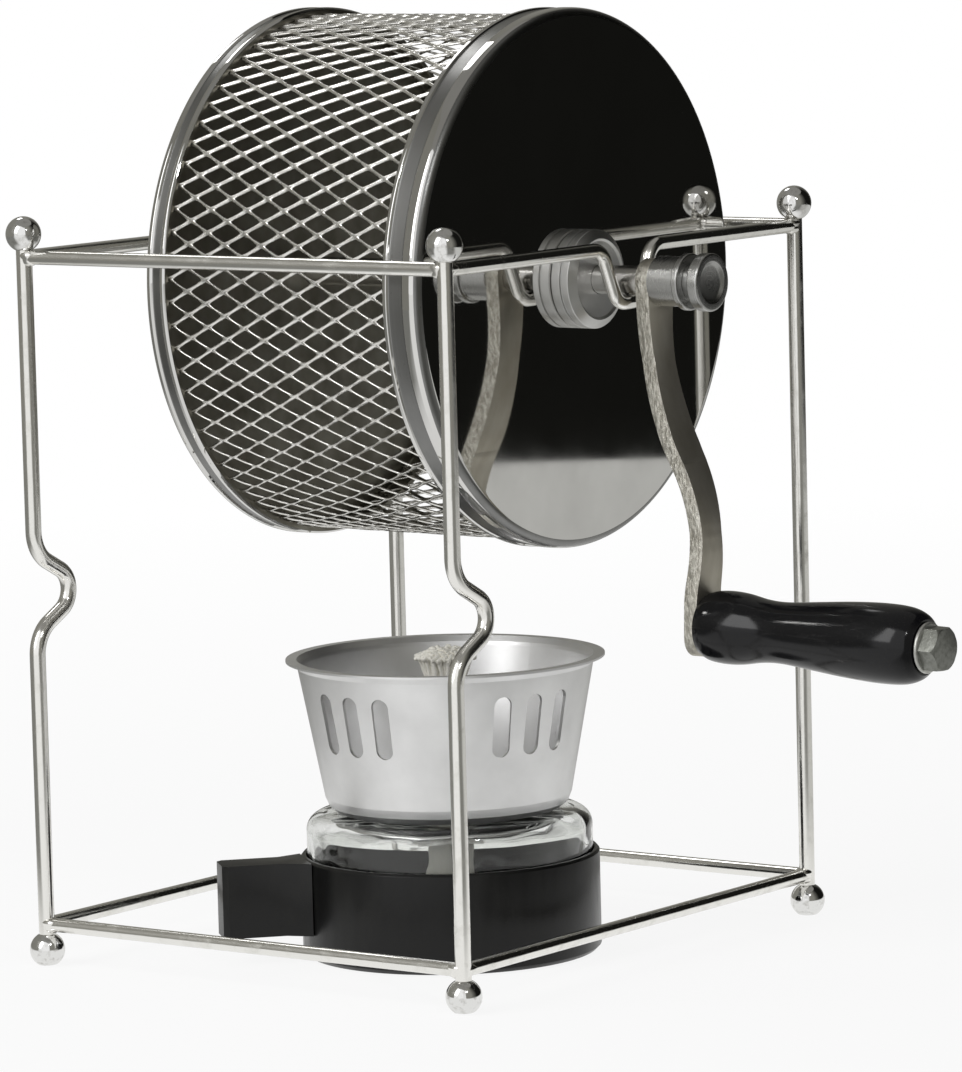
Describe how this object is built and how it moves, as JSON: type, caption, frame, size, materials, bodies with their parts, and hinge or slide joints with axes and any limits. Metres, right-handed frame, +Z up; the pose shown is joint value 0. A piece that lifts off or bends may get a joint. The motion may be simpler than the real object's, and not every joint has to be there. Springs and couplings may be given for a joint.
{
  "type": "stovetop coffee bean roaster",
  "caption": "Hand-cranked mesh drum on a wire stand, turned over a spirit burner to roast coffee beans.",
  "frame": {"origin": "centre of the stand's footprint, on the table plane, where the burner holder's flat underside lies", "axes": "+Z up, +Y from the crank side to the rear along the drum's axle, +X to the right seen from the crank side"},
  "size_m": [0.178, 0.2567, 0.2658],
  "materials": {
    "stand_wire": "bright drawn wire",
    "stand_balls": "polished",
    "axle_steel": "turned",
    "mesh_steel": "bright expanded sheet",
    "polished_steel": "mirror polished",
    "turned_aluminium": "satin turned",
    "arm_metal": "satin nickel plate",
    "zinc_steel": "satin plated",
    "black_lacquer": "gloss",
    "black_moulding": "satin moulded",
    "clear_glass": "clear pressed",
    "tube_metal": "plain",
    "cotton_wick": "loose cotton",
    "spun_aluminium": "satin spun"
  },
  "bodies": {
    "stand": {"post_front_left": "stand_wire", "post_front_right": "stand_wire", "post_rear_left": "stand_wire", "post_rear_right": "stand_wire", "foot_front_left": "stand_balls", "foot_front_right": "stand_balls", "foot_rear_left": "stand_balls", "foot_rear_right": "stand_balls", "finial_front_left": "stand_balls", "finial_front_right": "stand_balls", "finial_rear_left": "stand_balls", "finial_rear_right": "stand_balls", "cradle_rail_front": "stand_wire", "cradle_rail_rear": "stand_wire", "rail_top_left": "stand_wire", "rail_top_right": "stand_wire", "rail_bottom_front": "stand_wire", "rail_bottom_rear": "stand_wire", "rail_bottom_left": "stand_wire", "rail_bottom_right": "stand_wire"},
    "drum": {"axle": "axle_steel", "mesh_cage": "mesh_steel", "rear_cap": "polished_steel", "rear_nut": "turned_aluminium", "crank_arm": "arm_metal", "crank_bush": "zinc_steel", "cap_nut": "zinc_steel", "grip_bolt": "zinc_steel", "grip_washer": "zinc_steel"},
    "lid": {"lid": "polished_steel"},
    "hub_nut": {"hub_nut": "turned_aluminium"},
    "grip": {"grip": "black_lacquer"},
    "burner": {"burner_holder": "black_moulding"},
    "lamp": {"spirit_jar": "clear_glass", "wick_tube": "tube_metal"},
    "wick": {"wick": "cotton_wick"},
    "flame_cup": {"flame_cup": "spun_aluminium"}
  },
  "joints": [
    {"name": "drum_spin", "type": "hinge", "parent": "stand", "child": "drum", "pos_m": [0, 0, 0.1908], "axis": [0, 1, 0], "continuous": true},
    {"name": "grip_spin", "type": "hinge", "parent": "drum", "child": "grip", "pos_m": [0, -0.09565, 0.0962], "axis": [0, -0.9996, -0.0279], "continuous": true},
    {"name": "lid_off", "type": "slide", "parent": "drum", "child": "lid", "axis": [0, -1, 0], "range_m": [0, 0.0064]},
    {"name": "hub_nut_off", "type": "slide", "parent": "drum", "child": "hub_nut", "axis": [0, -1, 0], "range_m": [0, 0.0064]},
    {"name": "burner_lift", "type": "slide", "parent": "stand", "child": "burner", "axis": [0, 0, 1], "range_m": [0, 0.013]},
    {"name": "lamp_lift", "type": "slide", "parent": "burner", "child": "lamp", "axis": [0, 0, 1], "range_m": [0, 0.008]},
    {"name": "wick_raise", "type": "slide", "parent": "lamp", "child": "wick", "axis": [0, 0, 1], "range_m": [-0.006, 0.003]},
    {"name": "cup_lift", "type": "slide", "parent": "lamp", "child": "flame_cup", "axis": [0, 0, 1], "range_m": [0, 0.006]}
  ],
  "couplings": [
    {"joint": "hub_nut_off", "follows": "lid_off", "ratio": 1}
  ]
}
